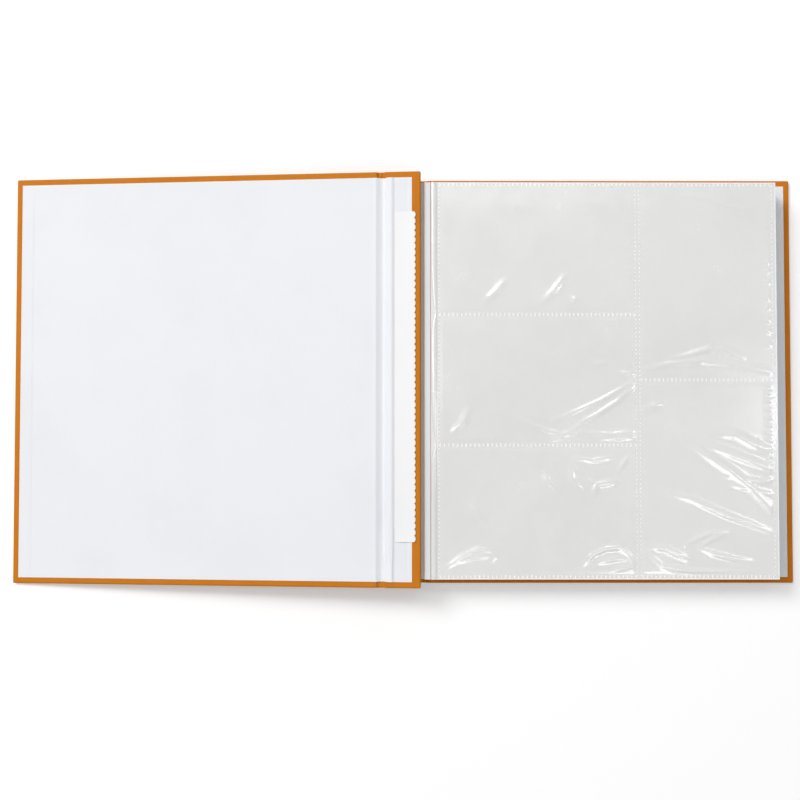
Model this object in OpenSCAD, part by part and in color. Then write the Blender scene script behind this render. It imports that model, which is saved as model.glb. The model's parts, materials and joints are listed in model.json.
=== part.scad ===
// Photo album with pocket leaves, lying open at its first page.
// Millimetres, +Z up, +X from the spine to the fore-edge of the pages, +Y to the head.
// The origin is on the table, under the middle of the back cover.

/* [Covers] */
// Height of the case from head to tail
cover_h = 336; // [260:1:400]
// Width of the front and back boards
board_w = 302; // [240:1:360]
// Thickness of the cover and spine boards
board_t = 2.5; // [1.5:0.1:4]
// Thickness of the covering
cloth_t = 0.4; // [0.2:0.05:0.8]
// Thickness of the white lining paper
lining_t = 0.3; // [0.1:0.05:0.6]
// Width of covering turned in over the boards
turn_in_w = 15; // [11:0.5:25]
// Width of turned-in covering that the lining leaves bare
border_w = 5; // [3:0.5:9]

/* [Spine] */
// Height of the crease above the table
lower_spine_h = 32; // [22:0.5:45]
// Width of the upper spine half, from its edge over the lower half to the groove
upper_spine_w = 27.6; // [24:0.2:40]
// Covering turned in round the crease end of the upper spine half
crease_turn_in_w = 10; // [8:0.5:14]
// Width of that covering left bare beside the crease
crease_border_w = 7; // [4:0.5:8]
// Lap of the crease's cloth on the lower spine half
crease_lap_w = 8; // [4:0.5:12]
// Room in the front groove beyond twice the case's thickness
groove_clear = 1.4; // [0.6:0.1:6]
// Width of the groove between the spine's outer face and the back board
back_groove_w = 10.4; // [9:0.1:14]
// Clearance between a folded cloth and the pieces beside it
fold_clear = 0.1; // [0.05:0.05:0.4]

/* [Tape] */
// Width of the pinked tape to the roots of its teeth
tape_w = 15.5; // [8:0.5:18]
// Thickness of the tape
tape_t = 0.3; // [0.1:0.05:0.6]
// Distance from the head of the case to the tape
tape_head_gap = 33; // [16:1:80]
// Distance from the tail of the case to the tape
tape_tail_gap = 37; // [16:1:80]
// Distance from the edge of the upper spine half to the roots of the teeth
tape_crease_gap = 5; // [3:0.5:7]
// Pitch of the pinked teeth
tooth_pitch = 5.1; // [3:0.1:8]
// Depth of the pinked teeth
tooth_depth = 0.9; // [0.4:0.1:2]

/* [Leaves] */
// Gap between the leaves and the head of the case
leaf_head_gap = 8; // [4:0.5:20]
// Gap between the leaves and the tail of the case
leaf_tail_gap = 6.5; // [4:0.5:20]
// Gap between the leaves and the fore-edge of the back cover
fore_edge_gap = 21; // [8:0.5:30]
// Thickness of one film
film_t = 0.2; // [0.1:0.05:0.3]
// Height of the weld lines above the film
weld_t = 0.05; // [0.02:0.01:0.2]
// Thickness of the white core sheet
core_t = 0.25; // [0.1:0.05:0.5]
// Gap between the sheets of one leaf
sheet_gap = 0.05; // [0.02:0.01:0.1]
// Gap between the welds of one leaf and the next leaf
leaf_gap = 0.05; // [0.02:0.01:0.2]
// Width of the upright pockets beside the fore-edge
upright_pocket_w = 111; // [80:1:130]
// Film from the fold to the first weld
fold_margin = 5; // [3:0.5:10]
// Width of a weld line
weld_w = 4; // [2:0.5:6]
// Width of the binding stubs between the spine and the folds
stub_w = 7.6; // [6:0.1:11]
// Gap between a leaf's fold and its stub
stub_gap = 0.3; // [0.1:0.05:0.6]
// Least drop from the crease to the top of the leaves
block_drop = 1.2; // [0.8:0.1:4]

/* [Hidden] */
// Leaves that turn one by one on top of the block
TURNING = 6;
// Rows of lying pockets beside the fold and of upright pockets beside the fore-edge
LYING_ROWS = 3;
UPRIGHT_ROWS = 2;
// Outline points for each pinked tooth
TOOTH_STEPS = 4;
// Sides of the round folds
FOLD_SIDES = 48;
// Overrun of a cut past the face that it opens
CUT = 1;

board_h = cover_h - 2 * cloth_t;
// Height of the case to the top of its turn-ins, and of the case with its lining
case_t = board_t + 2 * cloth_t;
lined_t = case_t + lining_t;
groove_w = 2 * lined_t + groove_clear;
fold_r = cloth_t;
fold_gap = fold_r + fold_clear;
lining_fold_gap = 2 * fold_gap + lining_t;

// The back cover is centred on the origin, and the upper spine half reaches over the lower one
crease_overlap = fold_r + cloth_t + board_t + lining_t;
back_x = -(board_w + cloth_t) / 2;
spine_x = back_x - back_groove_w;
crease_x = spine_x - fold_r;
upper_end = upper_spine_w - crease_overlap;
groove_axis = upper_end + groove_w / 2;
front_start = upper_end + groove_w;
front_reach = front_start + board_w + cloth_t;
// Slope at which the front cover's edge rests on the table
rest_slope = asin(lower_spine_h / norm([front_reach, fold_gap])) + atan(fold_gap / front_reach);

spine_top = lower_spine_h - crease_overlap - fold_gap;
spine_lining_x = spine_x + cloth_t + board_t;
stub_x = spine_lining_x + lining_t + fold_clear;
// Stubs above the lower spine half leave room for the upper half's edge to swing past
upper_stub_x = crease_x + norm([crease_overlap, fold_gap + lined_t]) + 2 * fold_gap;
leaf_axis_x = stub_x + stub_w;
leaf_x = leaf_axis_x + stub_gap;
leaf_w = back_x + board_w + cloth_t - fore_edge_gap - leaf_x;
leaf_h = cover_h - leaf_head_gap - leaf_tail_gap;
leaf_y = (leaf_tail_gap - leaf_head_gap) / 2;
leaf_t = 2 * film_t + core_t + 2 * sheet_gap;
leaf_pitch = leaf_t + 2 * weld_t + leaf_gap;
leaf_count = floor((lower_spine_h - block_drop - lined_t) / leaf_pitch);
lower_leaves = leaf_count - TURNING;
// Leaves turn about the top edge of the stubs
leaf_axis_z = lined_t + leaf_count * leaf_pitch;

tape_l = cover_h - tape_head_gap - tape_tail_gap;
tooth_count = floor(tape_l / tooth_pitch);

ORANGE = [0.81, 0.49, 0.15];
GREYBOARD = [0.62, 0.58, 0.52];
WHITE = [0.95, 0.95, 0.96];
FILM = [0.88, 0.89, 0.9, 0.5];

CASE_NODES = [
    "back_board", "back_covering", "back_lining", "back_groove_cloth", "back_groove_lining",
    "lower_spine_board", "lower_spine_covering", "lower_spine_lining", "crease_cloth",
    "upper_spine_board", "upper_spine_covering", "upper_spine_lining", "pinked_tape",
    "upper_groove_cloth", "upper_groove_lining", "groove_fold",
    "front_groove_cloth", "front_groove_lining", "front_board", "front_covering", "front_lining",
    "binding_stubs", "lower_leaf_films", "lower_leaf_cores"
];
LEAF_SHEETS = ["front_film", "core", "back_film"];
LEAF_NODES = [for (n = [1:TURNING]) for (sheet = LEAF_SHEETS) leaf_node(n, sheet)];

function leaf_node(n, sheet) = str("leaf_", n, "_", sheet);

// Underside of a leaf counted from the back cover up, from 0
function leaf_z(level) = lined_t + weld_t + leaf_gap + level * leaf_pitch;

// Outline of the pinked edge, as cosine teeth along the tape
function pinked_edge() = [
    for (i = [0:tooth_count * TOOTH_STEPS])
        let (turn = 360 * i / TOOTH_STEPS)
        [tooth_depth * (1 - cos(turn)) / 2, tape_l * i / (tooth_count * TOOTH_STEPS)]
];

// Box from x0 to x1 and z0 to z1, centred across the head and tail
module slab(x0, x1, h, z0, z1) {
    translate([x0, -h / 2, z0]) cube([x1 - x0, h, z1 - z0]);
}

// Box like a slab, centred on the leaves
module leaf_slab(x0, x1, z0, z1) {
    translate([0, leaf_y, 0]) slab(x0, x1, leaf_h, z0, z1);
}

// A board lying outside-down, with its hinge edge at start and its free edge at start + w
module board(start, w) {
    color(GREYBOARD) slab(start, start + w, board_h, cloth_t, cloth_t + board_t);
}

// Covering under a board, wrapped round its free edge, head and tail and turned in over it
module covering(start, w, turn_in) {
    edge = start + w + cloth_t;
    color(ORANGE) difference() {
        slab(start, edge, cover_h, 0, case_t);
        slab(start - CUT, start + w, board_h, cloth_t, cloth_t + board_t);
        slab(start - CUT, edge - turn_in, cover_h - 2 * turn_in_w, cloth_t + board_t / 2, case_t + CUT);
    }
}

// Lining over the board and the turn-ins, rebated where the turn-ins lie under it
module lining(start, w, turn_in, border) {
    edge = start + w + cloth_t;
    color(WHITE) union() {
        slab(start, edge - turn_in, cover_h - 2 * turn_in_w, cloth_t + board_t, lined_t);
        slab(start, edge - border, cover_h - 2 * border_w, case_t, lined_t);
    }
}

// Covering in a groove, doubled at head and tail by its turn-ins
module groove_cloth(x0, x1) {
    color(ORANGE) difference() {
        slab(x0, x1, cover_h, 0, 2 * cloth_t);
        slab(x0 - CUT, x1 + CUT, cover_h - 2 * turn_in_w, cloth_t, 2 * cloth_t + CUT);
    }
}

// Lining in a groove, rebated over the turn-ins
module groove_lining(x0, x1) {
    color(WHITE) union() {
        slab(x0, x1, cover_h - 2 * turn_in_w, cloth_t, 2 * cloth_t + lining_t);
        slab(x0, x1, cover_h - 2 * border_w, 2 * cloth_t, 2 * cloth_t + lining_t);
    }
}

// Round fold of cloth along a hinge axis
module fold() {
    color(ORANGE) rotate([90, 0, 0]) cylinder(r = fold_r, h = cover_h, center = true, $fn = FOLD_SIDES);
}

// Places what hangs from the crease: x runs from the crease to the front cover's free edge
module from_crease() {
    translate([crease_x, 0, lower_spine_h]) rotate([0, -rest_slope, 0]) mirror([1, 0, 0])
        translate([0, 0, fold_gap]) children();
}

module back_board() {
    board(back_x, board_w);
}

module back_covering() {
    covering(back_x, board_w, turn_in_w);
}

module back_lining() {
    lining(back_x, board_w, turn_in_w, border_w);
}

module back_groove_cloth() {
    groove_cloth(spine_x, back_x);
}

module back_groove_lining() {
    groove_lining(spine_lining_x + lining_t, back_x);
}

module lower_spine_board() {
    color(GREYBOARD) slab(spine_x + cloth_t, spine_lining_x, board_h, 2 * cloth_t, spine_top);
}

// Covering up the spine's outer face and round its head and tail
module lower_spine_covering() {
    color(ORANGE) difference() {
        slab(spine_x, spine_lining_x, cover_h, 2 * cloth_t, spine_top);
        slab(spine_x + cloth_t, spine_lining_x + CUT, board_h, 2 * cloth_t - CUT, spine_top + CUT);
    }
}

module lower_spine_lining() {
    color(WHITE)
        slab(spine_lining_x, spine_lining_x + lining_t, cover_h - 2 * border_w, 2 * cloth_t, spine_top);
}

// Cloth up the lower spine half's outer face to a round fold on the crease's axis
module crease_cloth() {
    color(ORANGE) slab(crease_x, spine_x, cover_h, spine_top - crease_lap_w, lower_spine_h);
    translate([crease_x, 0, lower_spine_h]) fold();
}

// The upper spine half lies with its free, wrapped end over the lower half
module from_upper_end() {
    from_crease() translate([upper_end, 0, 0]) mirror([1, 0, 0]) children();
}

module upper_spine_board() {
    from_upper_end() board(0, upper_spine_w - cloth_t);
}

module upper_spine_covering() {
    from_upper_end() covering(0, upper_spine_w - cloth_t, crease_turn_in_w);
}

module upper_spine_lining() {
    from_upper_end() lining(0, upper_spine_w - cloth_t, crease_turn_in_w, crease_border_w);
}

// Tape on the upper spine half, with its pinked edge towards the crease
module pinked_tape() {
    root = tape_crease_gap - crease_overlap;
    edge = [for (p = pinked_edge()) [root - p[0], p[1]]];
    back = root + tape_w;
    color(WHITE) from_crease() translate([0, tape_tail_gap - cover_h / 2, lined_t])
        linear_extrude(height = tape_t) polygon(concat(edge, [[back, tape_l], [back, 0]]));
}

module upper_groove_cloth() {
    from_crease() groove_cloth(upper_end, groove_axis - fold_gap);
}

module upper_groove_lining() {
    from_crease() groove_lining(upper_end, groove_axis - lining_fold_gap);
}

module groove_fold() {
    from_crease() translate([groove_axis, 0, cloth_t]) fold();
}

module front_groove_cloth() {
    from_crease() groove_cloth(groove_axis + fold_gap, front_start);
}

module front_groove_lining() {
    from_crease() groove_lining(groove_axis + lining_fold_gap, front_start);
}

module front_board() {
    from_crease() board(front_start, board_w);
}

module front_covering() {
    from_crease() covering(front_start, board_w, turn_in_w);
}

module front_lining() {
    from_crease() lining(front_start, board_w, turn_in_w, border_w);
}

// One spacer strip for each leaf, stacked beside the spine
module binding_stubs() {
    color(WHITE) for (level = [0:leaf_count - 1])
        let (top = leaf_z(level) + leaf_t)
        leaf_slab(top < spine_top ? stub_x : upper_stub_x, leaf_axis_x, top - leaf_t - leaf_gap, top);
}

// Frame and bars of the pocket welds, seen from above
module weld_lines() {
    rail = weld_w / 2;
    fold_weld = leaf_x + fold_margin;
    edge_weld = leaf_x + leaf_w - rail;
    middle_weld = edge_weld - upright_pocket_w;
    inner_h = leaf_h - weld_w;
    for (x = [fold_weld, middle_weld, edge_weld])
        translate([x, 0]) square([weld_w, leaf_h], center = true);
    for (row = [0:LYING_ROWS])
        translate([fold_weld, inner_h * (row / LYING_ROWS - 1 / 2) - rail])
            square([middle_weld - fold_weld, weld_w]);
    for (row = [0:UPRIGHT_ROWS])
        translate([middle_weld, inner_h * (row / UPRIGHT_ROWS - 1 / 2) - rail])
            square([upright_pocket_w, weld_w]);
}

// Level of a turning leaf, numbered from the top
function turning_z(n) = leaf_z(leaf_count - n);

module leaf_core(n) {
    z = turning_z(n) + film_t + sheet_gap;
    color(WHITE) leaf_slab(leaf_x, leaf_x + leaf_w, z, z + core_t);
}

// Film over the core, with its welds standing up
module leaf_front_film(n) {
    top = turning_z(n) + leaf_t;
    color(FILM) union() {
        leaf_slab(leaf_x, leaf_x + leaf_w, top - film_t, top);
        translate([0, leaf_y, top - film_t]) linear_extrude(height = film_t + weld_t) weld_lines();
    }
}

// Film under the core, with its welds standing down
module leaf_back_film(n) {
    z = turning_z(n);
    color(FILM) union() {
        leaf_slab(leaf_x, leaf_x + leaf_w, z, z + film_t);
        translate([0, leaf_y, z - weld_t]) linear_extrude(height = film_t + weld_t) weld_lines();
    }
}

// Front and back films of the leaves below the turning ones
module lower_leaf_films() {
    color(FILM) for (level = [0:lower_leaves - 1]) for (z = [0, leaf_t - film_t])
        leaf_slab(leaf_x, leaf_x + leaf_w, leaf_z(level) + z, leaf_z(level) + z + film_t);
}

module lower_leaf_cores() {
    color(WHITE) for (level = [0:lower_leaves - 1])
        let (z = leaf_z(level) + film_t + sheet_gap)
        leaf_slab(leaf_x, leaf_x + leaf_w, z, z + core_t);
}

back_board();
back_covering();
back_lining();
back_groove_cloth();
back_groove_lining();
lower_spine_board();
lower_spine_covering();
lower_spine_lining();
crease_cloth();
upper_spine_board();
upper_spine_covering();
upper_spine_lining();
pinked_tape();
upper_groove_cloth();
upper_groove_lining();
groove_fold();
front_groove_cloth();
front_groove_lining();
front_board();
front_covering();
front_lining();
binding_stubs();
lower_leaf_films();
lower_leaf_cores();
for (n = [1:TURNING]) {
    leaf_front_film(n);
    leaf_core(n);
    leaf_back_film(n);
}
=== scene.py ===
"""Looks of an open photo album with welded pocket leaves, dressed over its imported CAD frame."""

import json
import logging
import math
import random
from dataclasses import dataclass
from enum import Enum

import bmesh
import bpy
import numpy as np
from mathutils import Euler, Matrix, Vector


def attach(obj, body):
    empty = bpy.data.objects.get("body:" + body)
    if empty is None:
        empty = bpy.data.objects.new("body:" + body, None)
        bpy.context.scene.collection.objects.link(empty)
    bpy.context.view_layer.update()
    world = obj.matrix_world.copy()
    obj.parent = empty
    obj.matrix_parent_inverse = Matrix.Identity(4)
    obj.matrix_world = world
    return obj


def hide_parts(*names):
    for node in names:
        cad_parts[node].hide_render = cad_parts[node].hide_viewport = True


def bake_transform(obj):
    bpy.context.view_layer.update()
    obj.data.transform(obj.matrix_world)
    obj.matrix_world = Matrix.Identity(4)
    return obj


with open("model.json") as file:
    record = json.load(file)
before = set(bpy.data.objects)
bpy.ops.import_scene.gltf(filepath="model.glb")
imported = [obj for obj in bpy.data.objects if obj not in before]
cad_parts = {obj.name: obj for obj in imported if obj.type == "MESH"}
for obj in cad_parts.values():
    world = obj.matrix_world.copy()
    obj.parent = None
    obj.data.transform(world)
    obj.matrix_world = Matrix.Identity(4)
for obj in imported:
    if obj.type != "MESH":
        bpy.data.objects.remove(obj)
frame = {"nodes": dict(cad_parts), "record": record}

logging.basicConfig(level=logging.INFO, format="%(levelname)s %(message)s")
LOG = logging.getLogger("album")

MM = 0.001
SEEING_RAYS = ("Is Glossy Ray", "Is Transmission Ray")
WHITE = (1.0, 1.0, 1.0, 1.0)
NOISE_LOW, NOISE_HIGH = 0.3, 0.7
WAVE_RATE = 20.0
MERGE = 1e-7
PAPER_STEP = 0.27 * MM
EDGE_WEAR = 0.9 * MM
BAR_TOP = 0.62

Colour = tuple[float, float, float]
Place = tuple[float, float, float]
Film = tuple[float, float, float]
Span = tuple[float, float]
Socket = bpy.types.NodeSocket


class Slot(Enum):
    """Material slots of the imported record."""

    CLOTH = "orange_covering"
    BOARD = "greyboard"
    LINING = "white_lining"
    TAPE = "white_tape"
    STUB = "stub_card"
    CORE = "core_sheet"
    FILM = "clear_film"


class Side(Enum):
    """Which film of a leaf is meant."""

    FRONT = "front_film"
    BACK = "back_film"


def smooth(low: float, high: float, x: np.ndarray | float) -> np.ndarray:
    """Smooth rise from 0 at low to 1 at high.

    Args:
        low: Where the rise starts.
        high: Where it ends, which may lie below low.
        x: Values to map.

    Returns:
        The eased values, between 0 and 1.
    """
    t = np.clip((x - low) / (high - low), 0.0, 1.0)
    return t * t * (3.0 - 2.0 * t)


def ridge(x: np.ndarray | float, at: np.ndarray | float, wide: float) -> np.ndarray:
    """Bell of height 1 round a place, with its half-width."""
    return np.exp(-(((x - at) / wide) ** 2))


def stations(*runs: tuple[float, float, float]) -> np.ndarray:
    """Rising values through runs of (start, end, step), with each end met exactly.

    Args:
        runs: Start, end and largest step of each run.

    Returns:
        The sorted values without repeats.
    """
    parts = [np.linspace(a, b, max(2, int(math.ceil((b - a) / step)) + 1)) for a, b, step in runs]
    return np.unique(np.round(np.concatenate(parts), 9))


@dataclass(frozen=True)
class CaseSizes:
    """Sizes of the album's case, in metres, as in the part's source.

    From half_h on they follow from those above them.
    """

    cover_h: float = 336 * MM
    board_w: float = 302 * MM
    board_t: float = 2.5 * MM
    cloth_t: float = 0.4 * MM
    lining_t: float = 0.3 * MM
    turn_in_w: float = 15 * MM
    border_w: float = 5 * MM
    spine_h: float = 32 * MM
    upper_spine_w: float = 27.6 * MM
    crease_turn_in_w: float = 10 * MM
    crease_border_w: float = 7 * MM
    groove_clear: float = 1.4 * MM
    back_groove_w: float = 10.4 * MM
    fold_clear: float = 0.1 * MM
    half_h: float = cover_h / 2
    case_t: float = board_t + 2 * cloth_t  # covered board
    lined_t: float = case_t + lining_t  # covered and lined board
    groove_w: float = 2 * lined_t + groove_clear
    fold_gap: float = cloth_t + fold_clear  # from the crease's axis to the upper spine half
    overlap: float = 2 * cloth_t + board_t + lining_t  # of the upper spine half over the lower one
    back_x: float = -(board_w + cloth_t) / 2  # hinge edge of the back board
    back_edge: float = back_x + board_w + cloth_t  # fore-edge of the back cover
    spine_x: float = back_x - back_groove_w  # outer face of the spine
    spine_inner_x: float = spine_x + cloth_t + board_t  # inner face of the lower spine board
    spine_top: float = spine_h - overlap - fold_gap  # top of the lower spine board
    crease_x: float = spine_x - cloth_t  # axis of the crease
    upper_end: float = upper_spine_w - overlap  # groove edge of the upper spine half, from the crease
    front_start: float = upper_end + groove_w  # groove edge of the front board, from the crease
    front_reach: float = front_start + board_w + cloth_t  # free edge of the front cover, from the crease
    front_lever: float = math.hypot(front_reach, fold_gap)  # straight from the crease's axis to that edge
    rest_slope: float = math.asin(spine_h / front_lever) + math.atan(fold_gap / front_reach)

    def from_crease(self) -> Matrix:
        """Matrix that places what hangs from the crease, with x running to the cover's free edge.

        Returns:
            The matrix from the crease's own axes to the frame.
        """
        place = Matrix.Translation((self.crease_x, 0.0, self.spine_h))
        turn = Matrix.Rotation(-self.rest_slope, 4, "Y")
        lift = Matrix.Translation((0.0, 0.0, self.fold_gap))
        return place @ turn @ Matrix.Diagonal((-1.0, 1.0, 1.0, 1.0)) @ lift


@dataclass(frozen=True)
class LeafSizes:
    """Sizes of the leaves, in metres, as in the part's source.

    From thick on they follow from those above them.
    """

    x0: float = -150.4 * MM
    x1: float = 130.2 * MM
    y0: float = -161.5 * MM
    y1: float = 160.0 * MM
    first_z: float = 3.7 * MM
    film_t: float = 0.2 * MM
    core_t: float = 0.25 * MM
    sheet_gap: float = 0.05 * MM
    pitch: float = 0.9 * MM
    count: int = 30
    turning: int = 6
    fold_margin: float = 5 * MM
    weld_w: float = 4 * MM
    upright_w: float = 111 * MM
    thick: float = 2 * film_t + core_t + 2 * sheet_gap  # one leaf without its welds
    fold_weld: float = x0 + fold_margin  # weld beside the fold
    edge_weld: float = x1 - weld_w / 2  # weld beside the fore-edge
    middle_weld: float = edge_weld - upright_w  # weld between the lying and the upright pockets

    def rows(self, count: int) -> list[float]:
        """Places of the weld lines across a column of pockets.

        Args:
            count: Number of pockets in the column.

        Returns:
            The lines' y values from tail to head.
        """
        low, high = self.y0 + self.weld_w / 2, self.y1 - self.weld_w / 2
        return [low + (high - low) * k / count for k in range(count + 1)]

    def underside(self, level: int) -> float:
        """Underside of a leaf, counted up from the back cover."""
        return self.first_z + level * self.pitch


class Nodes:
    """A material's or a world's node tree in the making."""

    def __init__(self, block: bpy.types.Material | bpy.types.World) -> None:
        """Empties the tree of a new material or world.

        Args:
            block: The new material or world.
        """
        block.use_nodes = True
        self.block, self.tree = block, block.node_tree
        self.tree.nodes.clear()

    def add(self, kind: str, values: dict | None = None, **settings: object) -> bpy.types.Node:
        """Adds a node.

        Args:
            kind: Blender's type name of the node.
            values: Input values, or sockets to link, by input name or index.
            settings: Attributes set on the node itself.

        Returns:
            The new node.
        """
        node = self.tree.nodes.new(kind)
        for key, value in settings.items():
            setattr(node, key, value)
        for key, value in (values or {}).items():
            if isinstance(value, Socket):
                self.tree.links.new(value, node.inputs[key])
            else:
                node.inputs[key].default_value = value
        return node

    def place(self) -> Socket:
        """Object coordinates of the shaded point."""
        return self.add("ShaderNodeTexCoord").outputs["Object"]

    def seen(self) -> Socket:
        """1 for a ray by which the eye sees the point, also by gloss or through film, and 0 for the rest.

        Returns:
            The socket of that value.
        """
        path = self.add("ShaderNodeLightPath").outputs
        seen = path["Is Camera Ray"]
        for kind in SEEING_RAYS:
            seen = self.add("ShaderNodeMath", {0: seen, 1: path[kind]}, operation="MAXIMUM").outputs[0]
        return seen

    def noise(self, scale: float, detail: float = 3.0, rough: float = 0.55, warp: float = 0.0) -> Socket:
        """Noise over the object's own coordinates."""
        values = {"Vector": self.place(), "Scale": scale, "Detail": detail, "Roughness": rough,
                  "Distortion": warp}
        return self.add("ShaderNodeTexNoise", values).outputs["Fac"]

    def ranged(self, noise: Socket, low: float, high: float) -> Socket:
        """Noise stretched to run from low to high."""
        values = {"Value": noise, "From Min": NOISE_LOW, "From Max": NOISE_HIGH, "To Min": low,
                  "To Max": high}
        return self.add("ShaderNodeMapRange", values).outputs["Result"]

    def step(self, source: Socket, span: Span) -> Socket:
        """Smooth step from 0 to 1 where a value crosses a span."""
        values = {"Value": source, "From Min": span[0], "From Max": span[1]}
        return self.add("ShaderNodeMapRange", values, interpolation_type="SMOOTHSTEP").outputs["Result"]

    def mixed(self, share: Socket, a: Colour, b: Colour) -> Socket:
        """Colour between a and b by a share.

        Args:
            share: Share of b, from 0 to 1.
            a: Colour at 0.
            b: Colour at 1.

        Returns:
            The colour's socket.
        """
        node = self.add("ShaderNodeMix", data_type="RGBA")
        self.tree.links.new(share, node.inputs["Factor"])
        for socket, colour in (("A", a), ("B", b)):
            sockets = [s for s in node.inputs if s.name == socket and s.type == "RGBA"]
            sockets[0].default_value = (*colour, 1.0)
        return [s for s in node.outputs if s.type == "RGBA"][0]

    def sum(self, a: Socket, b: Socket, share: float) -> Socket:
        """Value a plus a share of value b."""
        node = self.add("ShaderNodeMath", {0: b, 1: share, 2: a}, operation="MULTIPLY_ADD")
        return node.outputs[0]

    def bump(self, height: Socket, strength: float, depth: float) -> Socket:
        """Bumped normal of a height."""
        values = {"Height": height, "Strength": strength, "Distance": depth}
        return self.add("ShaderNodeBump", values).outputs["Normal"]

    def close(self, values: dict) -> bpy.types.Material:
        """Adds the surface shader and the output.

        Args:
            values: Inputs of the surface shader, as numbers or sockets.

        Returns:
            The finished material.
        """
        shader = self.add("ShaderNodeBsdfPrincipled", values)
        self.add("ShaderNodeOutputMaterial", {"Surface": shader.outputs["BSDF"]})
        return self.block


@dataclass(frozen=True)
class ClothFinish:
    """Matt book cloth with a fine weave, mottled dye and rubbed threads."""

    name: str = "orange_cloth"
    light: Colour = (0.622, 0.203, 0.01)
    deep: Colour = (0.572, 0.177, 0.0075)
    thread: float = 0.62 * MM
    wobble: float = 1.2
    speck: float = 2600.0
    mottle: Span = (42.0, 900.0)
    rub: float = 300.0
    roughness: Span = (0.5, 0.68)
    specular: float = 0.12
    sheen: float = 0.03
    sheen_roughness: float = 0.5
    relief: float = 0.05 * MM

    def build(self) -> bpy.types.Material:
        """Makes the material.

        Returns:
            The finished material.
        """
        n = Nodes(bpy.data.materials.new(self.name))
        scale = 2 * math.pi / (WAVE_RATE * self.thread)
        weave = None
        for axis in ("X", "Y", "Z"):
            values = {"Vector": n.place(), "Scale": scale, "Distortion": self.wobble, "Detail": 1.0,
                      "Detail Scale": 2.0}
            band = n.add("ShaderNodeTexWave", values, bands_direction=axis).outputs["Fac"]
            weave = band if weave is None else n.sum(weave, band, 1.0)
        height = n.sum(weave, n.noise(self.speck, 2.0), 1.4)
        dye = n.sum(n.noise(self.mottle[0], 4.0), n.noise(self.mottle[1], 2.0), 0.35)
        return n.close({
            "Base Color": n.mixed(n.ranged(dye, -0.25, 0.75), self.deep, self.light),
            "Roughness": n.ranged(n.noise(self.rub), *self.roughness),
            "Specular IOR Level": self.specular,
            "Sheen Weight": self.sheen,
            "Sheen Roughness": self.sheen_roughness,
            "Normal": n.bump(height, 0.35, self.relief),
        })


@dataclass(frozen=True)
class PaperFinish:
    """Paper or card with fibres, a faint tone and a soft surface."""

    name: str
    light: Colour
    deep: Colour
    fibre: float = 700.0
    cloud: float = 16.0
    cockle: float = 60.0
    rub: float = 180.0
    bump: float = 0.18
    relief: float = 0.06 * MM
    roughness: Span = (0.62, 0.78)
    specular: float = 0.3

    def build(self) -> bpy.types.Material:
        """Makes the material.

        Returns:
            The finished material.
        """
        n = Nodes(bpy.data.materials.new(self.name))
        tone = n.sum(n.noise(self.cloud), n.noise(self.fibre), 0.3)
        height = n.sum(n.noise(self.fibre * 2.2, 4.0), n.noise(self.cockle, 2.0), 1.5)
        return n.close({
            "Base Color": n.mixed(n.ranged(tone, -0.15, 0.7), self.deep, self.light),
            "Roughness": n.ranged(n.noise(self.rub), *self.roughness),
            "Specular IOR Level": self.specular,
            "Normal": n.bump(height, self.bump, self.relief),
        })


@dataclass(frozen=True)
class FilmFinish:
    """Clear glossy film, slightly hazy, with fine waves and creases."""

    name: str
    light: Colour = (0.89, 0.89, 0.884)
    deep: Colour = (0.835, 0.835, 0.828)
    haze: Span = (9.0, 120.0)
    wave: Span = (70.0, 260.0)
    rub: float = 40.0
    alpha: float = 0.85
    roughness: Span = (0.12, 0.28)
    coat_roughness: float = 0.1
    ripple: float = 0.1
    relief: float = 1.2 * MM
    crease: float = 0.0
    crease_scale: float = 26.0
    crease_span: Span = (0.5, 0.53)

    def build(self) -> bpy.types.Material:
        """Makes the material.

        Returns:
            The finished material.
        """
        n = Nodes(bpy.data.materials.new(self.name))
        haze = n.sum(n.noise(self.haze[0], 2.0), n.noise(self.haze[1]), 0.25)
        height = n.sum(n.noise(self.wave[0], 2.0), n.noise(self.wave[1], 2.0), 0.2)
        if self.crease:
            fold = n.step(n.noise(self.crease_scale, 1.0, 0.5, 0.8), self.crease_span)
            height = n.sum(height, fold, self.crease)
        return n.close({
            "Base Color": n.mixed(n.ranged(haze, 0.0, 1.0), self.deep, self.light),
            "Roughness": n.ranged(n.noise(self.rub), *self.roughness),
            "IOR": 1.6,
            "Specular IOR Level": 0.9,
            "Coat Weight": 1.0,
            "Coat Roughness": self.coat_roughness,
            "Alpha": self.alpha,
            "Normal": n.bump(height, self.ripple, self.relief),
        })


@dataclass(frozen=True)
class BoardFinish:
    """Raw greyboard, speckled with recycled fibres."""

    name: str = "raw_greyboard"
    light: Colour = (0.42, 0.37, 0.3)
    deep: Colour = (0.25, 0.21, 0.165)
    fibre: Span = (1400.0, 150.0)
    grit: float = 1800.0
    rub: float = 500.0
    roughness: Span = (0.8, 0.95)
    relief: float = 0.1 * MM

    def build(self) -> bpy.types.Material:
        """Makes the material.

        Returns:
            The finished material.
        """
        n = Nodes(bpy.data.materials.new(self.name))
        specks = n.sum(n.noise(self.fibre[0], 4.0, 0.7), n.noise(self.fibre[1], 2.0), 0.3)
        return n.close({
            "Base Color": n.mixed(n.ranged(specks, -0.2, 0.8), self.deep, self.light),
            "Roughness": n.ranged(n.noise(self.rub), *self.roughness),
            "Specular IOR Level": 0.2,
            "Normal": n.bump(n.noise(self.grit, 4.0), 0.4, self.relief),
        })


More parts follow.
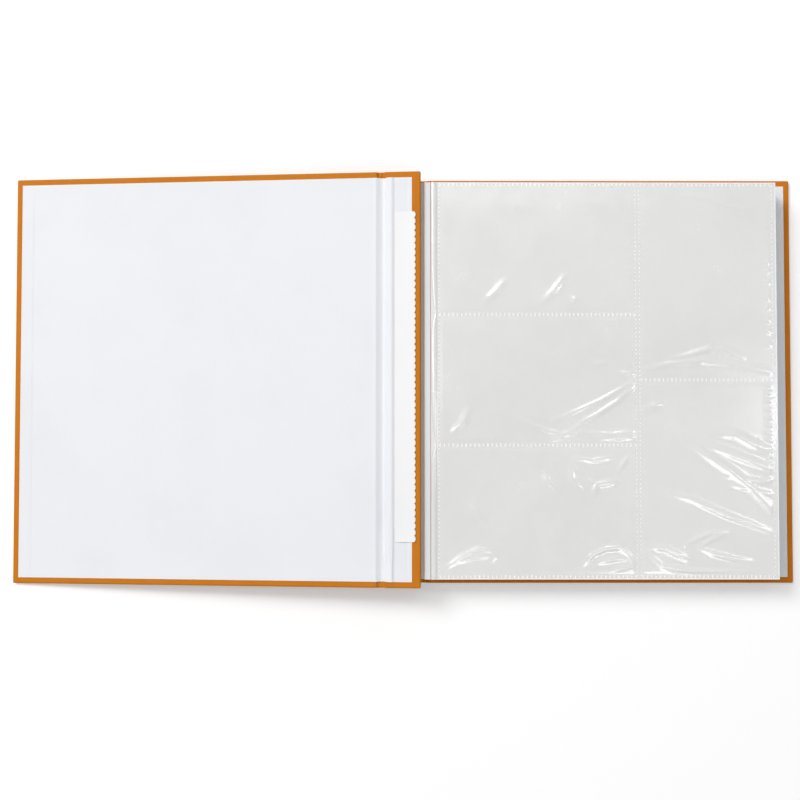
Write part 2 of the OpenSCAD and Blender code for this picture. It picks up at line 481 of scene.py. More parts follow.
class Palette:
    """Every finish of the album, built once. A slot's own finish has the slot's name."""

    def __init__(self) -> None:
        """Builds the materials."""
        self.cloth = ClothFinish().build()
        self.lining = PaperFinish("white_endpaper", (0.875, 0.89, 0.92), (0.835, 0.85, 0.885)).build()
        tape = PaperFinish("white_tape", (0.95, 0.952, 0.955), (0.915, 0.918, 0.925), fibre=1100.0)
        self.tape = tape.build()
        self.stub = PaperFinish("stub_card", (0.84, 0.84, 0.835), (0.77, 0.77, 0.77)).build()
        self.core = PaperFinish("core_paper", (0.86, 0.86, 0.857), (0.82, 0.82, 0.817), bump=0.1).build()
        self.film = FilmFinish("clear_film").build()
        self.creased_film = FilmFinish("creased_film", ripple=0.14, crease=0.12).build()
        self.edge_film = FilmFinish("stacked_film", alpha=0.9, ripple=0.05).build()
        self.weld = PaperFinish(
            "pressed_weld", (0.96, 0.96, 0.955), (0.88, 0.88, 0.875), fibre=900.0,
            roughness=(0.2, 0.4), specular=0.6,
        ).build()
        self.board = BoardFinish().build()


class Shape:
    """A piece's mesh in the making."""

    def __init__(self) -> None:
        """Starts an empty mesh."""
        self.bm = bmesh.new()

    @staticmethod
    def cell(v: bmesh.types.BMVert, n: int, m: int) -> tuple[int, int]:
        """Row and column of a vertex in a fresh grid of n by m squares."""
        return round((v.co.x + 1) / 2 * n), round((v.co.y + 1) / 2 * m)

    @staticmethod
    def faces_of(verts: list[bmesh.types.BMVert]) -> list[bmesh.types.BMFace]:
        """Faces round some vertices, each once and in a fixed order."""
        return list(dict.fromkeys(f for v in verts for f in v.link_faces))

    def slab(self, front: np.ndarray, back: np.ndarray) -> None:
        """Adds a closed sheet between two grids of points.

        Args:
            front: Points of the shown face, as an n by m by 3 array.
            back: Points of the other face, in the same order.
        """
        n, m = front.shape[0] - 1, front.shape[1] - 1
        made = bmesh.ops.create_grid(self.bm, x_segments=n, y_segments=m, size=1.0)["verts"]
        cells = {v: self.cell(v, n, m) for v in made}
        grown = bmesh.ops.extrude_face_region(self.bm, geom=self.faces_of(made), use_keep_orig=True)
        for v in grown["geom"]:
            if isinstance(v, bmesh.types.BMVert):
                v.co = Vector(front[self.cell(v, n, m)])
        for v, cell in cells.items():
            v.co = Vector(back[cell])

    def blister(self, front: np.ndarray, level: float) -> None:
        """Adds a closed sheet with a shaped face over a flat one.

        Args:
            front: Points of the shaped face, as an n by m by 3 array.
            level: Height of the flat face.
        """
        n, m = front.shape[0] - 1, front.shape[1] - 1
        made = bmesh.ops.create_grid(self.bm, x_segments=n, y_segments=m, size=1.0)["verts"]
        for v in made:
            v.co = Vector(front[self.cell(v, n, m)])
        rim = [e for e in self.bm.edges if e.is_boundary]
        grown = bmesh.ops.extrude_edge_only(self.bm, edges=rim)["geom"]
        for v in grown:
            if isinstance(v, bmesh.types.BMVert):
                v.co.z = level
        foot = [g for g in grown if isinstance(g, bmesh.types.BMEdge) and g.is_boundary]
        bmesh.ops.edgeloop_fill(self.bm, edges=foot)

    def stud(self, centre: Vector, along: Vector, across: Vector, up: Vector, paint: int) -> None:
        """Adds a small pressed bar with sloping flanks.

        Args:
            centre: Middle of its foot.
            along: Half its length, as a vector.
            across: Half its width, as a vector.
            up: Its height, as a vector.
            paint: Material index of its faces.
        """
        made = bmesh.ops.create_cube(self.bm, size=2.0)["verts"]
        for v in made:
            inset, rise = (BAR_TOP, up) if v.co.z > 0 else (1.0, -0.5 * up)
            v.co = centre + along * (v.co.x * inset) + across * (v.co.y * inset) + rise
        for f in self.faces_of(made):
            f.material_index = paint

    def box(self, low: Vector, high: Vector, paint: int = 0) -> None:
        """Adds a box between two corners, as one sheet of a stack.

        Args:
            low: Corner with the least x, y and z.
            high: The opposite corner.
            paint: Material index of its faces.
        """
        made = bmesh.ops.create_cube(self.bm, size=1.0)["verts"]
        size, middle = high - low, (high + low) / 2
        for v in made:
            v.co = v.co * size + middle
        for f in self.faces_of(made):
            f.material_index = paint

    def sweep(self, rings: list[list[Vector]]) -> None:
        """Adds an open profile that is drawn from row to row and back to the first.

        Args:
            rings: Rows with the same number of points each.
        """
        row = [self.bm.verts.new(p) for p in rings[0]]
        edges = [self.bm.edges.new(pair) for pair in zip(row, row[1:])]
        for ring in (*rings[1:], rings[0]):
            grown = bmesh.ops.extrude_edge_only(self.bm, edges=edges)["geom"]
            fresh = {g for g in grown if isinstance(g, bmesh.types.BMVert)}
            row = [next(e.other_vert(v) for e in v.link_edges if e.other_vert(v) in fresh) for v in row]
            edges = [self.bm.edges.get(pair) for pair in zip(row, row[1:])]
            for v, p in zip(row, ring):
                v.co = p
        bmesh.ops.remove_doubles(self.bm, verts=self.bm.verts, dist=MERGE)
        bmesh.ops.dissolve_degenerate(self.bm, edges=self.bm.edges, dist=MERGE)

    def floor(self, level: float, room: float = 0.1 * MM) -> None:
        """Closes a level by a strip from the open edges along the head to those along the tail."""
        rim = [e for e in self.bm.edges if e.is_boundary and abs(e.verts[0].co.z - level) < room]
        bmesh.ops.bridge_loops(self.bm, edges=[e for e in rim if e.verts[0].co.y * e.verts[1].co.y > 0])

    def finish(self, name: str, paints: list[bpy.types.Material], angle: float = 40.0,
               place: Matrix | None = None) -> bpy.types.Object:
        """Turns the mesh into an object.

        Args:
            name: Name of the piece.
            paints: Its materials, by material index.
            angle: Edges sharper than this many degrees stay sharp.
            place: Matrix that moves the mesh to its place.

        Returns:
            The new object, linked to the scene.
        """
        if place is not None:
            bmesh.ops.transform(self.bm, matrix=place, verts=self.bm.verts)
        bmesh.ops.recalc_face_normals(self.bm, faces=self.bm.faces)
        mesh = bpy.data.meshes.new(name)
        self.bm.to_mesh(mesh)
        self.bm.free()
        for paint in paints:
            mesh.materials.append(paint)
        mesh.polygons.foreach_set("use_smooth", [True] * len(mesh.polygons))
        mesh.set_sharp_from_angle(angle=math.radians(angle))
        LOG.info("%s: %d faces", name, len(mesh.polygons))
        return add_object(name, mesh)


def add_object(name: str, data: bpy.types.ID) -> bpy.types.Object:
    """Links a new object to the scene."""
    made = bpy.data.objects.new(name, data)
    bpy.context.scene.collection.objects.link(made)
    return made


def points(x: np.ndarray, y: np.ndarray, z: np.ndarray) -> np.ndarray:
    """Stacks three grids of the same shape into one grid of points."""
    return np.stack(np.broadcast_arrays(x, y, z), axis=-1).astype(float)


def ribbon(path: list[Span], thick: float, half: float, step: float) -> Shape:
    """A sheet that follows a path in x and z, and runs from tail to head.

    Args:
        path: Points of the shown face, as x and z.
        thick: Its thickness to the right of the path, or to the left where it is below 0.
        half: Half its length along y.
        step: Largest step along y.

    Returns:
        The sheet's mesh.
    """
    front = np.array(path)
    run = np.gradient(front, axis=0)
    run /= np.linalg.norm(run, axis=1)[:, None]
    back = front + thick * np.stack([run[:, 1], -run[:, 0]], axis=1)
    ys = stations((-half, half, step))
    made = Shape()
    made.slab(*(np.stack([points(side[:, 0], y, side[:, 1]) for y in ys], axis=1) for side in (front, back)))
    return made


@dataclass
class Tray:
    """Covering wrapped round a board's four edges, open above, and flattened where it crosses a groove."""

    x0: float
    x1: float
    half_h: float
    top: float
    groove: Span
    low: float = 0.95 * MM
    edge_r: float = 1.35 * MM
    corner_r: float = 1.2 * MM
    turn_in: float = 9.5 * MM
    skirt: float = 12 * MM
    skin: float = 0.4 * MM
    seed: float = 0.0
    dip_run: Span = (0.4 * MM, 2.2 * MM)
    fold_rows: tuple[float, ...] = (1.6 * MM, 2.3 * MM, 3.0 * MM, 3.7 * MM, 4.4 * MM, 5.1 * MM)
    fold_end: Span = (5.6 * MM, 4.2 * MM)
    spacing: Span = (45 * MM, 0.4 * MM)
    corner_turns: tuple[float, ...] = (0.0, 0.25, 0.5, 0.75, 1.0)

    def rise(self, x: float) -> float:
        """Height of the turned-in cloth at x, which dips where the groove is."""
        (a, b), (near, far) = self.groove, self.dip_run
        inside = smooth(a + near, a + far, x) * smooth(b - near, b - far, x)
        return float(self.top + (self.low - self.top) * inside)

    def wrinkle(self, x: float, d: float, sign: float) -> float:
        """Height of the cloth's creases in the groove.

        Args:
            x: Place along the case.
            d: Distance from the head or tail edge.
            sign: 1 at the head, -1 at the tail.

        Returns:
            The height over the turned-in cloth.
        """
        a, b = self.groove
        u = (x - a) / (b - a)
        if not 0.0 < u < 1.0:
            return 0.0
        t = d / (6 * MM)
        lean = 0.16 * sign * math.sin(2.1 * t + self.seed)
        folds = ((0.55, 0.36 + lean, 0.085), (0.7, 0.66 - 0.5 * lean, 0.1), (0.3, 0.67 - 0.3 * t, 0.06))
        height = sum(high * ridge(u, at, wide) for high, at, wide in folds) * MM
        ends = math.sin(math.pi * u) ** 0.5 * min(1.0, d / (1.2 * MM))
        return float(height * ends * smooth(*self.fold_end, d))

    def section(self, x: float, sign: float) -> list[Span]:
        """Profile of the cloth at x, as distances from the edge and heights.

        Args:
            x: Place along the case.
            sign: 1 at the head, -1 at the tail.

        Returns:
            The profile from the underside, round the edge and the turn-in, to the inner floor.
        """
        top = self.rise(x)
        r = min(self.edge_r, 0.45 * top)
        arc = [k * math.pi / 10 for k in range(6)]
        out = [(self.skirt, 0.0), (6 * MM, 0.0)]
        out += [(r - r * math.sin(a), r - r * math.cos(a)) for a in arc]
        out += [(r - r * math.cos(a), top - r + r * math.sin(a)) for a in arc]
        out += [(d, top + self.wrinkle(x, d, sign)) for d in self.fold_rows]
        hidden = min(top, self.low) if self.groove[0] < x < self.groove[1] else top
        inner = max(hidden - self.skin, self.skin * 1.15)
        out += [(5.4 * MM, hidden), (self.turn_in, hidden), (self.turn_in, inner), (self.skin, inner),
                (self.skin, self.skin), (self.skirt, self.skin)]
        return out

    def edge_stations(self) -> list[float]:
        """Places along the head and tail edges, close together across the groove.

        Returns:
            The rising x values.
        """
        (a, b), low, high = self.groove, self.x0 + self.skirt, self.x1 - self.skirt
        wide, close = self.spacing
        xs = stations((low, high, wide), (a - 2 * MM, b + 2 * MM, close))
        return [x for x in xs if low <= x <= high]

    def corner(self, x_edge: float, in_x: float, sign: float, turn: float, d: float) -> Span:
        """Plan point of a rounded corner.

        Args:
            x_edge: Edge of the case at that corner.
            in_x: Inward direction along x.
            sign: 1 at the head, -1 at the tail.
            turn: Share of the way round the corner, from the head or tail edge to the other one.
            d: Distance inside the edge.

        Returns:
            The point's x and y.
        """
        r = self.corner_r
        if d >= r:
            return x_edge + in_x * d, sign * (self.half_h - d)
        angle = turn * math.pi / 2
        return (
            x_edge + in_x * (r - (r - d) * math.sin(angle)),
            sign * (self.half_h - r + (r - d) * math.cos(angle)),
        )

    def corner_ring(self, x_edge: float, in_x: float, sign: float, turn: float) -> list[Vector]:
        """Row of points at one turn of a corner, with arguments as for corner."""
        profile = self.section(x_edge + in_x * self.skirt, sign)
        return [Vector((*self.corner(x_edge, in_x, sign, turn, d), z)) for d, z in profile]

    def shape(self) -> Shape:
        """Builds the tray's mesh.

        Returns:
            The closed mesh, in the board's own axes.
        """
        rings: list[list[Vector]] = []
        xs, ends = self.edge_stations(), [(self.x0, 1.0), (self.x1, -1.0)]
        for sign, way in ((1.0, 1), (-1.0, -1)):
            start, end = ends[::way]
            rings += [self.corner_ring(*start, sign, turn) for turn in self.corner_turns[::-1]]
            for x in xs[::way]:
                rings.append([Vector((x, sign * (self.half_h - d), z)) for d, z in self.section(x, sign)])
            rings += [self.corner_ring(*end, sign, turn) for turn in self.corner_turns]
        made = Shape()
        made.sweep(rings)
        made.floor(0.0)
        made.floor(self.skin)
        return made


# The front endpaper across the groove: places from the upper spine half and heights over flat paper, in mm.
GROOVE_PROFILE = (
    (-7.0, 0.0), (-6.4, 0.12), (-5.6, 0.5), (-4.8, 0.95), (-4.0, 1.15), (-3.2, 1.02), (-2.0, 0.64),
    (-0.8, 0.2), (0.0, -0.15), (0.3, -0.4), (0.8, -1.0), (1.4, -1.7), (2.0, -2.3), (2.5, -2.46),
    (3.0, -2.46), (3.6, -2.33), (4.4, -1.98), (5.2, -1.56), (6.0, -1.12), (6.8, -0.66), (7.6, -0.2),
    (8.3, 0.2), (8.8, 0.3), (9.4, 0.27), (10.6, 0.1), (12.0, 0.0),
)


@dataclass
class FrontCover:
    """The opened cover with the upper spine half: one cloth, one endpaper and a pinked tape."""

    case: CaseSizes
    paints: Palette
    tape_w: float = 15.5 * MM
    tape_t: float = 0.3 * MM
    tape_head_gap: float = 33 * MM
    tape_tail_gap: float = 37 * MM
    tape_crease_gap: float = 5 * MM
    tooth_count: int = 52
    tooth_depth: float = 1.3 * MM
    tooth_points: int = 10
    tape_rows: tuple[float, ...] = (0.0, 0.02, 0.08, 0.14, 0.3, 0.6, 0.85, 1.0)
    paper_t: float = 0.24 * MM
    fine_run: Span = (8 * MM, 4 * MM)
    tail_run: Span = (-85 * MM, -150 * MM)
    pleat_run: Span = (-135 * MM, -150 * MM)

    def build(self) -> None:
        """Makes the pieces and places them; the tape is joined to the spine flap."""
        self.cloth()
        self.endpaper()
        self.tape()

    def bend(self, piece: bpy.types.Object) -> None:
        """Bakes a piece's placement into its mesh.

        Args:
            piece: Cloth or paper that crosses the groove.
        """
        place = self.case.from_crease()
        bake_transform(piece)

    def cloth(self) -> None:
        """Covering of the upper spine half, the groove and the front board in one piece."""
        case = self.case
        tray = Tray(-case.overlap, case.front_reach, case.half_h, case.case_t,
                    (case.upper_end, case.front_start))
        piece = tray.shape().finish("front_case_cloth", [self.paints.cloth], 50.0, case.from_crease())
        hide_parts("upper_spine_covering", "upper_groove_cloth", "groove_fold",
                    "front_groove_cloth", "front_covering")
        self.bend(piece)

    def paper_height(self, x: np.ndarray, y: np.ndarray) -> np.ndarray:
        """Top of the endpaper over the cover's outer face.

        Args:
            x: Places from the crease.
            y: Places towards the head.

        Returns:
            The heights.
        """
        case = self.case
        soft, slow = 0.9 * MM, 10 * MM
        turn_in = case.crease_turn_in_w - case.overlap
        free = case.front_reach - case.turn_in_w
        edge = case.half_h - case.border_w
        inside = smooth(turn_in - soft, turn_in + soft, x) * smooth(free + soft, free - soft, x)
        inside = inside * smooth(edge, edge - slow, np.abs(y))
        u = (x - case.upper_end) / MM
        groove = np.interp(u, *zip(*GROOVE_PROFILE), left=0.0, right=0.0)
        tail = smooth(*self.tail_run, y)
        sway = 0.35 * np.sin(y / (21 * MM)) + 0.7 * tail * np.sin(y / (7.5 * MM))
        ridges = ridge(u, sway - 2.4, 0.55) + 0.8 * ridge(u, -5.0 - 0.6 * sway, 0.6)
        pleat = ridge(u, 3.6 + 0.3 * sway, 0.5) * smooth(*self.pleat_run, y)
        crumple = ridges * (0.05 + 0.3 * tail) + 0.5 * pleat
        return case.lined_t - PAPER_STEP * inside + (groove + crumple) * MM

    def endpaper(self) -> None:
        """White endpaper from the crease border over the groove to the cover's free edge."""
        case = self.case
        x0 = case.crease_border_w - case.overlap
        x1 = case.front_reach - case.border_w
        start, end = case.upper_end - self.fine_run[0], case.front_start + self.fine_run[1]
        free = case.front_reach - case.turn_in_w
        half = case.half_h - case.border_w
        xs = stations((x0, start, 0.7 * MM), (start, end, 0.25 * MM), (end, free - 2 * MM, 9 * MM),
                      (free - 2 * MM, free + 2 * MM, 0.4 * MM), (free + 2 * MM, x1, 2 * MM))
        ys = stations((-half, half, 2 * MM))
        x, y = np.meshgrid(xs, ys, indexing="ij")
        top = self.paper_height(x, y)
        shape = Shape()
        shape.slab(points(x, y, top), points(x, y, top - self.paper_t))
        piece = shape.finish("front_endpaper", [self.paints.lining], 60.0, case.from_crease())
        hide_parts("front_lining", "front_groove_lining", "upper_groove_lining",
                    "upper_spine_lining")
        self.bend(piece)

    def tape(self) -> None:
        """Tape with a pinked edge over the upper spine half."""
        case = self.case
        y0, y1 = self.tape_tail_gap - case.half_h, case.half_h - self.tape_head_gap
        turn = np.linspace(0.0, self.tooth_count, self.tooth_count * self.tooth_points + 1)
        ys = y0 + (y1 - y0) * turn / self.tooth_count
        lobe = np.abs(np.sin(np.pi * turn)) ** 0.55
        root = self.tape_crease_gap - case.overlap
        tips = root + 0.3 * MM - self.tooth_depth * lobe
        back = root + self.tape_w
        x = tips + (back - tips) * np.array(self.tape_rows)[:, None]
        y = np.broadcast_to(ys, x.shape)
        base = case.lined_t + 0.02 * MM
        lift = 0.55 * np.exp(-(y - y0) / (5 * MM)) + 0.2 * np.exp(-(y1 - y) / (4 * MM))
        turn_in = case.crease_turn_in_w - case.overlap
        sink = PAPER_STEP * smooth(turn_in - 1.4 * MM, turn_in + 1.4 * MM, x) * 0.6
        nap = 0.05 * np.sin(y / (17 * MM)) + 0.04 * np.sin(y / (6.1 * MM) + x / (3 * MM))
        curl = 0.16 * smooth(2.2 * MM, 0.0, x - tips)
        top = base + self.tape_t + (lift + nap + curl) * MM - sink
        low = np.maximum(top - 0.22 * MM, base - sink)
        shape = Shape()
        shape.slab(points(x, y, top), points(x, y, low))
        piece = shape.finish("pinked_edge_tape", [self.paints.tape], 50.0, case.from_crease())
        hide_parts("pinked_tape")
        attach(piece, "spine_flap")


@dataclass
class BackCase:
    """The back cover with the lower spine half and the crease."""

    case: CaseSizes
    paints: Palette
    paper_t: float = 0.22 * MM
    strip_t: float = 0.3 * MM
    strip_out: float = 0.35 * MM
    strip_rows: tuple[float, ...] = (1.4 * MM, 2.2 * MM, 3.5 * MM, 5 * MM, 8 * MM, 12 * MM)
    bend_reach: float = 1.8 * MM
    spine_r: float = 0.9 * MM

    def build(self) -> None:
        """Makes the pieces; all but the crease cloth are joined to the back case."""
        self.cloth()
        self.spine_cloth()
        self.endpaper()
        self.crease()

    def cloth(self) -> None:
        """Covering of the back board and the groove beside the spine, in one piece."""
        case = self.case
        tray = Tray(case.spine_x, case.back_edge, case.half_h, case.case_t,
                    (case.spine_x - 20 * MM, case.back_x), low=0.8 * MM, turn_in=7 * MM, skirt=8 * MM,
                    seed=1.4)
        piece = tray.shape().finish("back_case_cloth", [self.paints.cloth], 50.0)
        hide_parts("back_covering", "back_groove_cloth")
        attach(piece, "back_case")

    def spine_cloth(self) -> None:
        """Covering up the spine's outer face and round its head and tail."""
        case = self.case
        x0, x1, r, skin = case.spine_x, case.spine_inner_x, self.spine_r, case.cloth_t
        arc = [k * math.pi / 12 for k in range(7)]
        outer = [(x1, case.half_h)]
        outer += [(x0 + r - r * math.sin(a), case.half_h - r + r * math.cos(a)) for a in arc]
        outer += [(x, -y) for x, y in outer[::-1]]
        inside = case.half_h - skin
        inner = [(x1, -inside), (x0 + skin, -inside), (x0 + skin, inside), (x1, inside)]
        shape = Shape()
        low, high = 2 * case.cloth_t, case.spine_top
        foot = [shape.bm.verts.new((x, y, low)) for x, y in outer + inner]
        face = shape.bm.faces.new(foot)
        grown = bmesh.ops.extrude_face_region(shape.bm, geom=[face], use_keep_orig=True)
        risen = [g for g in grown["geom"] if isinstance(g, bmesh.types.BMVert)]
        bmesh.ops.translate(shape.bm, verts=risen, vec=(0.0, 0.0, high - low))
        piece = shape.finish("lower_spine_cloth", [self.paints.cloth], 35.0)
        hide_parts("lower_spine_covering")
        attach(piece, "back_case")

    def endpaper(self) -> None:
        """Endpaper over the back board, down into the groove and up the spine."""
        case = self.case
        free = case.back_edge - case.turn_in_w
        board = case.lined_t - PAPER_STEP
        face = case.spine_inner_x + case.lining_t
        hinge = case.back_x
        path = [(case.back_edge - case.border_w, case.lined_t), (free + 1.0 * MM, case.lined_t),
                (free - 1.0 * MM, board), (hinge + 120 * MM, board), (hinge + 0.1 * MM, board),
                (hinge - 0.5 * MM, board - 0.3 * MM), (hinge - 1.3 * MM, 1.5 * MM),
                (hinge - 2.2 * MM, 1.15 * MM), (face + 1.6 * MM, 1.15 * MM), (face + 0.5 * MM, 1.6 * MM),
                (face, 2.6 * MM), (face, 16 * MM), (face, case.spine_top)]
        shape = ribbon(path, -self.paper_t, case.half_h - case.border_w, 12 * MM)
        piece = shape.finish("back_endpaper", [self.paints.lining], 40.0)
        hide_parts("back_lining", "back_groove_lining", "lower_spine_lining")
        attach(piece, "back_case")

    def crease(self) -> None:
        """Cloth that runs from the lower spine's outer face round the crease to the upper half."""
        case = self.case
        to_flap = case.from_crease()
        side = case.spine_x - self.strip_out
        rise = [(side, case.spine_h - d) for d in self.strip_rows[::-1]]
        flap = [to_flap @ Vector((d, 0.0, -self.strip_out)) for d in self.strip_rows[:-1]]
        flap = [(q.x, q.z) for q in flap]
        a, b, knee = Vector(rise[-1]), Vector(flap[0]), Vector((side, flap[0][1]))
        turn = [tuple((1 - t) ** 2 * a + 2 * t * (1 - t) * knee + t * t * b) for t in (0.2, 0.4, 0.6, 0.8)]
        shape = ribbon(rise + turn + flap, self.strip_t, case.half_h - 0.3 * MM, 14 * MM)
        piece = shape.finish("crease_cloth_strip", [self.paints.cloth], 60.0)
        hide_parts("crease_cloth")
        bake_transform(piece)


@dataclass(frozen=True)
class Wrinkle:
    """One crease of the film: its line in leaf millimetres, its height and its half-width."""

    line: tuple[Span, ...]
    height: float
    width: float


@dataclass
class PocketFilm:
    """One film of a leaf: puffed pockets, creases, a rolled fold and ladder welds."""

    sizes: LeafSizes
    paints: Palette
    wrinkles: tuple[Wrinkle, ...]
    grain: float
    puff: float
    roll: float
    seed: int
    reach: float = 5 * MM
    head_slack: float = 4.0
    pinch_reach: Span = (17 * MM, 6 * MM)
    pitch: float = 3.5 * MM
    rail: float = 1.55 * MM
    dot_half: float = 0.5 * MM
    rung_half: float = 1.7 * MM
    bar_half: float = 0.68 * MM
    bar_h: float = 0.045 * MM
    cut_w: float = 0.9 * MM
    cut_face: Span = (-0.02 * MM, 0.03 * MM)

    def weld_lines(self) -> list[tuple[Vector, Vector]]:
        """Ends of every weld line, in plan.

        Returns:
            The lines' two ends, upright lines first.
        """
        s = self.sizes
        lines = []
        for x in (s.fold_weld, s.middle_weld, s.edge_weld):
            lines.append((Vector((x, s.y0)), Vector((x, s.y1))))
        for y in s.rows(3):
            lines.append((Vector((s.fold_weld, y)), Vector((s.middle_weld, y))))
        for y in s.rows(2):
            lines.append((Vector((s.middle_weld, y)), Vector((s.edge_weld, y))))
        return lines

    def freedom(self, x: np.ndarray, y: np.ndarray) -> np.ndarray:
        """How free the film is to rise, from 0 on a weld to 1 in a pocket.

        Args:
            x: Flat x values.
            y: Flat y values.

        Returns:
            The freedom at each point.
        """
        s, reach = self.sizes, self.reach
        free = smooth(s.weld_w / 2, reach, np.abs(x - s.middle_weld))
        free = free * smooth(s.fold_weld + s.weld_w / 2, s.fold_weld + reach, x)
        free = free * smooth(s.edge_weld - s.weld_w / 2, s.edge_weld - reach, x)
        for column, rows in ((x < s.middle_weld, s.rows(3)), (x >= s.middle_weld, s.rows(2))):
            for row in rows:
                slack = self.head_slack * reach if row > s.y1 - 3 * s.weld_w else reach
                near = smooth(s.weld_w / 2, slack, np.abs(y - row))
                free = np.where(column, free * near, free)
        return free

    def creases(self, x: np.ndarray, y: np.ndarray) -> np.ndarray:
        """Height of the film's creases.

        Args:
            x: Flat x values.
            y: Flat y values.

        Returns:
            The height at each point.
        """
        out = np.zeros_like(x)
        for w in self.wrinkles:
            line = np.array(w.line) * MM
            best = np.full_like(x, np.inf)
            fade = np.ones_like(x)
            total = np.linalg.norm(np.diff(line, axis=0), axis=1).sum()
            done = 0.0
            for a, b in zip(line, line[1:]):
                run = b - a
                length = float(np.linalg.norm(run))
                t = np.clip(((x - a[0]) * run[0] + (y - a[1]) * run[1]) / length**2, 0.0, 1.0)
                gap = np.hypot(x - a[0] - t * run[0], y - a[1] - t * run[1])
                along = (done + t * length) / total
                nearer = gap < best
                best = np.where(nearer, gap, best)
                fade = np.where(nearer, 0.35 + 0.65 * np.sin(np.pi * np.clip(along, 0.0, 1.0)), fade)
                done += length
            out = np.maximum(out, w.height * MM * fade * np.exp(-0.5 * (best / (w.width * MM)) ** 2))
        return out

    def pinch(self, y: np.ndarray) -> np.ndarray:
        """How far the fold is drawn in at y, from 0 between the rows to 1 at a row's weld.

        Args:
            y: Flat y values.

        Returns:
            The share at each point.
        """
        out = np.zeros_like(y)
        for row in self.sizes.rows(3)[1:-1]:
            gap = y - row
            reach = np.where(gap > 0, *self.pinch_reach)
            out = np.maximum(out, np.exp(-np.abs(gap) / reach))
        return out

    def surface(self, x: np.ndarray, y: np.ndarray) -> tuple[np.ndarray, np.ndarray]:
        """Drawn-in x and height of the film.

        Args:
            x: Flat x values.
            y: Flat y values.

        Returns:
            The film's x values and its heights above the flat film.
        """
        s = self.sizes
        free = self.freedom(x, y)
        slow = 0.5 + 0.3 * np.sin(x / (31 * MM) + self.seed) * np.sin(y / (27 * MM) + 0.7 * self.seed)
        height = free * (self.puff * slow + self.creases(x, y))
        t = np.clip((x - s.x0) / s.fold_margin, 0.0, 1.0)
        pinch = self.pinch(y)
        drawn = np.where(x < s.fold_weld, x + (1 - t) * 0.75 * s.fold_margin * pinch, x)
        roll = self.roll * np.sin(np.pi * t) ** 0.8 * (1 - 0.55 * pinch)
        return drawn, height + np.where(x < s.fold_weld, roll, 0.0)

    def build(self, name: str, node: str, body: str, level: float, side: Side) -> None:
        """Makes the film and joins it to its leaf.

        Args:
            name: Name of the piece.
            node: CAD node that it stands for.
            body: Body that it rides on.
            level: Height of the film's inner face.
            side: Whether the film faces up or down.
        """
        s = self.sizes
        up = 1.0 if side is Side.FRONT else -1.0
        xs = stations((s.x0, s.fold_weld, min(self.grain, 0.5 * MM)), (s.fold_weld, s.x1, self.grain))
        ys = stations((s.y0, s.y1, self.grain))
        x, y = np.meshgrid(xs, ys, indexing="ij")
        drawn, height = self.surface(x, y)
        outer = level + up * (s.film_t + height)
        shape = Shape()
        self.ladder(shape, level + up * s.film_t, up)
        if self.wrinkles:
            shape.blister(points(drawn, y, outer), level)
        else:
            shape.slab(points(drawn, y, outer), points(drawn, y, level + up * 0.98 * height))
        paint = self.paints.film if self.wrinkles else self.paints.creased_film
        piece = shape.finish(name, [paint, self.paints.weld], 60.0)
        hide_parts(node)
        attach(piece, body)

    def ladder(self, shape: Shape, level: float, up: float) -> None:
        """Adds the pressed bars of every weld line and the whitened cut edges.

        Args:
            shape: Mesh that takes the bars.
            level: Height of the film's outer face.
            up: 1 where the film faces up, -1 where it faces down.
        """
        s = self.sizes
        cut, (low, high) = self.cut_w, (level + up * face for face in self.cut_face)
        shape.box(Vector((s.x1 - cut, s.y0, low)), Vector((s.x1, s.y1, high)), 1)
        for y in (s.y0, s.y1 - cut):
            shape.box(Vector((s.fold_weld, y, low)), Vector((s.x1 - cut, y + cut, high)), 1)
        dice = random.Random(self.seed)
        rise = Vector((0.0, 0.0, up * self.bar_h))
        for a, b in self.weld_lines():
            run = b - a
            count = int(run.length / self.pitch)
            along = run.normalized()
            across = Vector((-along.y, along.x))
            upright = abs(along.y) > 0.5
            rails, half = ((-self.rail, self.rail), self.dot_half) if upright else ((0.0,), self.rung_half)
            for k in range(count):
                spot = a + along * (self.pitch * (k + 0.5) + (run.length - count * self.pitch) / 2)
                for rail in rails:
                    foot = (spot + across * rail).to_3d() + Vector((0.0, 0.0, level))
                    wide = half * dice.uniform(0.8, 1.1)
                    thick = self.bar_half * dice.uniform(0.75, 1.15)
                    shape.stud(foot, along.to_3d() * thick, across.to_3d() * wide, rise, 1)


